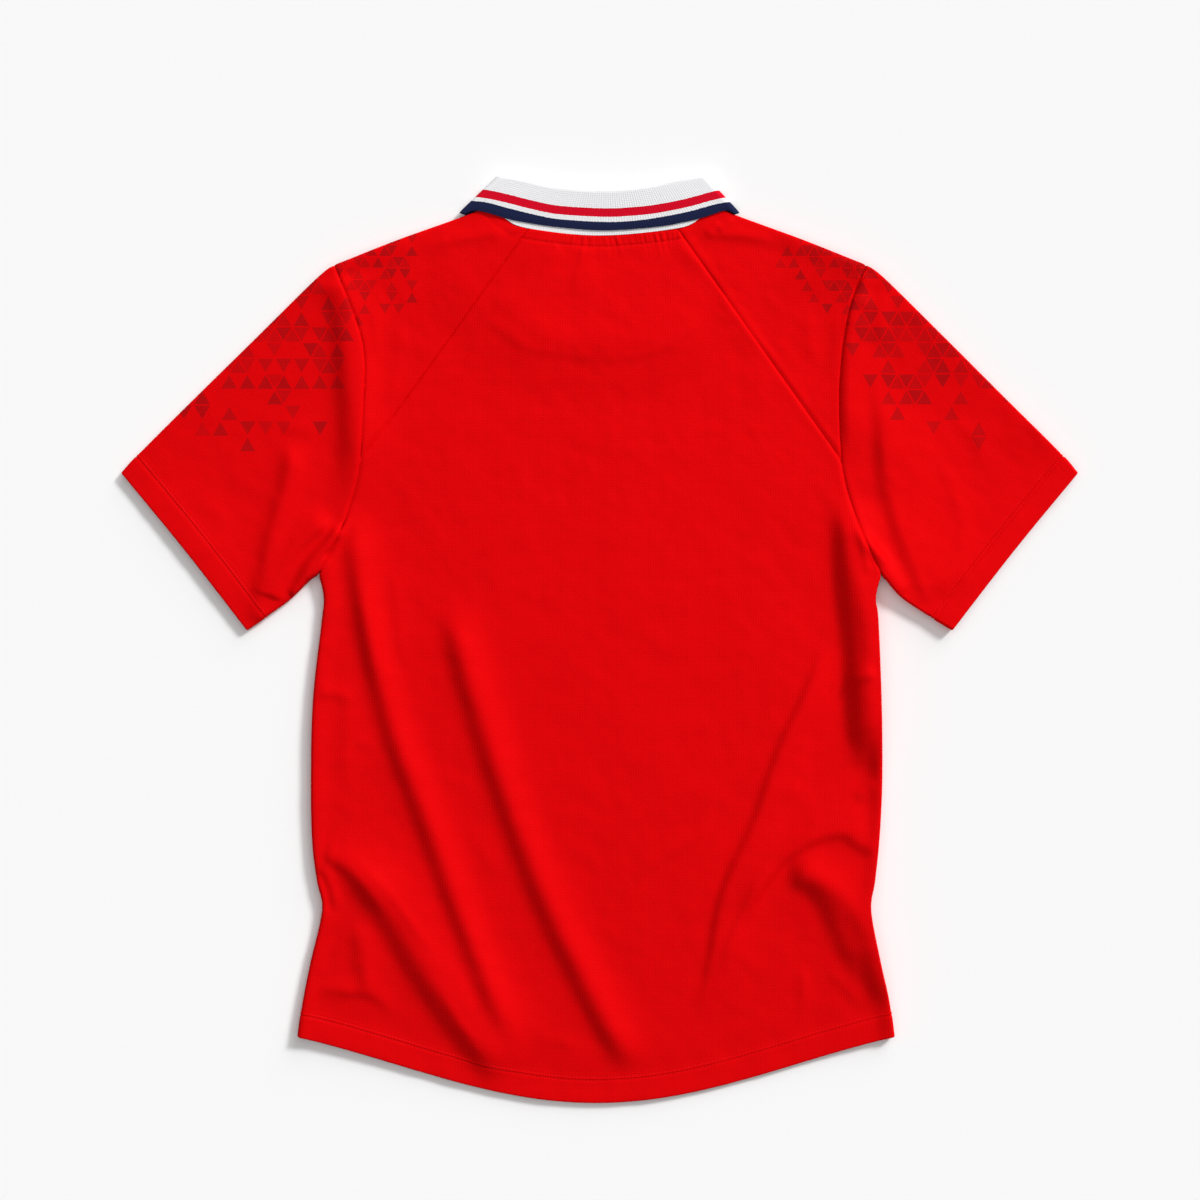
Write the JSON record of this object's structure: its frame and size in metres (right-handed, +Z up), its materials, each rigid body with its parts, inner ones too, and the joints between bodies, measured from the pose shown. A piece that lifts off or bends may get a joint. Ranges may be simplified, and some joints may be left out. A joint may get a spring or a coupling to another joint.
{
  "type": "football jersey",
  "caption": "Short-sleeved football jersey with a turned-over polo collar, shoulder panels and a curved drop-tail hem, laid flat with its back up.",
  "frame": {"origin": "on the surface that the jersey lies on, below the middle of its bounding box", "axes": "+X from the wearer's left sleeve to the right one, +Y from the hem towards the collar, +Z up, out of the jersey's back"},
  "size_m": [0.8217, 0.7969, 0.0117],
  "materials": {
    "body_knit": "fine red polyester knit with a soft sheen",
    "collar_rib": "white flat rib knit with a red and a navy stripe"
  },
  "bodies": {
    "root": {"back_panel": "body_knit", "front_panel": "body_knit", "shoulder_panel_left": "body_knit", "shoulder_panel_right": "body_knit", "sleeve_left": "body_knit", "sleeve_right": "body_knit", "collar": "collar_rib"}
  },
  "joints": []
}
